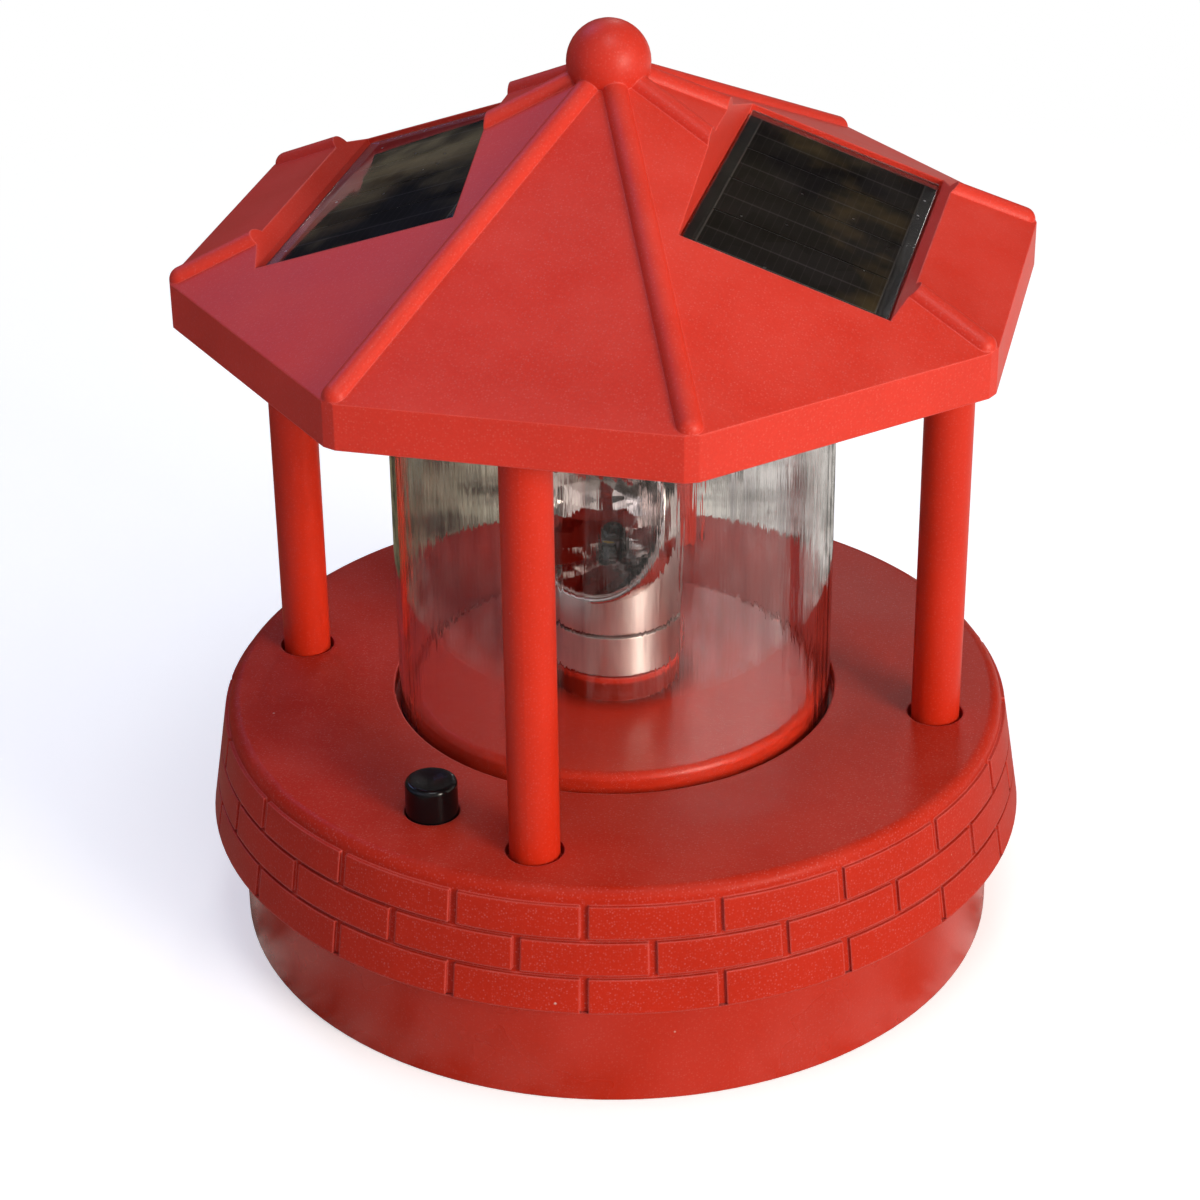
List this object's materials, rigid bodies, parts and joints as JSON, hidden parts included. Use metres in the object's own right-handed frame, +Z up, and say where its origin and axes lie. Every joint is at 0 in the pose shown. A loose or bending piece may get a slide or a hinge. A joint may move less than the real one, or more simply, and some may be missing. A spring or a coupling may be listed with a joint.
{
  "type": "lighthouse garden ornament",
  "caption": "Lighthouse-shaped garden lantern: octagonal solar roof on pillars, clear lens tube, turning chromed lamp head, brick-banded round base.",
  "frame": {"origin": "on the ground under the middle of the round base", "axes": "+Z up through the finial; the front pillar and the push button stand on the -Y side, and the two solar panels face +X and -X"},
  "size_m": [0.1552, 0.1552, 0.175],
  "materials": {
    "red_plastic": "satin moulded, bright orange-red, fine sunlit sheen",
    "clear_acrylic": "clear polished acrylic",
    "clear_resin": "clear glossy resin over the cells",
    "solar_cell": "near-black blue silicon with fine lines",
    "panel_board": "black laminate",
    "chrome_plate": "bright chromium plate",
    "white_plastic": "smooth white",
    "lamp_resin": "clear to milky lens",
    "black_plastic": "fine matt",
    "button_plastic": "glossy black",
    "seal_rubber": "soft matt",
    "bush_brass": "turned",
    "motor_steel": "zinc plated",
    "spring_steel": "nickel plated",
    "screw_steel": "zinc plated",
    "board_laminate": "green solder resist",
    "cell_sleeve": "plain shrink sleeve",
    "black_insulation": "smooth insulation",
    "red_insulation": "smooth insulation",
    "white_insulation": "smooth insulation"
  },
  "bodies": {
    "lantern": {"roof_shell": "red_plastic", "ceiling_plate": "red_plastic", "roof_screws": "screw_steel", "solar_board_left": "panel_board", "solar_board_right": "panel_board", "solar_cells_left": "solar_cell", "solar_cells_right": "solar_cell", "solar_cover_left": "clear_resin", "solar_cover_right": "clear_resin", "pillar_front": "red_plastic", "pillar_back": "red_plastic", "pillar_left": "red_plastic", "pillar_right": "red_plastic", "lens_tube": "clear_acrylic", "tube_seal_top": "seal_rubber", "tube_seal_bottom": "seal_rubber", "deck_housing": "red_plastic", "inner_disc": "red_plastic", "disc_screws": "screw_steel", "rotor_bush": "bush_brass", "led_post": "white_plastic", "led_lamp": "lamp_resin", "drive_plate": "black_plastic", "drive_screws": "screw_steel", "motor": "motor_steel", "motor_screws": "screw_steel", "button_spring": "spring_steel", "switch_body": "black_plastic", "circuit_board": "board_laminate", "board_parts": "black_plastic", "board_screws": "screw_steel", "base_cover": "red_plastic", "base_screws": "screw_steel", "battery_door": "red_plastic", "door_screw": "screw_steel", "battery_cell": "cell_sleeve", "battery_contacts": "spring_steel", "panel_leads": "black_insulation", "battery_leads": "red_insulation", "motor_leads": "black_insulation", "led_leads": "white_insulation"},
    "rotor": {"rotor_hub": "chrome_plate", "reflector": "chrome_plate", "rotor_gear": "white_plastic"},
    "drive": {"motor_shaft": "motor_steel", "drive_pinion": "bush_brass"},
    "button": {"button_cap": "button_plastic", "switch_plunger": "white_plastic"}
  },
  "joints": [
    {"name": "lamp_spin", "type": "hinge", "parent": "lantern", "child": "rotor", "pos_m": [0, 0, 0.045], "axis": [0, 0, 1], "continuous": true},
    {"name": "motor_spin", "type": "hinge", "parent": "lantern", "child": "drive", "pos_m": [0, 0.028, 0.03], "axis": [0, 0, 1], "continuous": true},
    {"name": "button_press", "type": "slide", "parent": "lantern", "child": "button", "axis": [0, 0, -1], "range_m": [0, 0.0018], "stiffness_N_per_m": 250, "springref_m": -0.002, "deforming": ["button_spring"]}
  ],
  "couplings": [
    {"joint": "motor_spin", "follows": "lamp_spin", "ratio": -3}
  ]
}
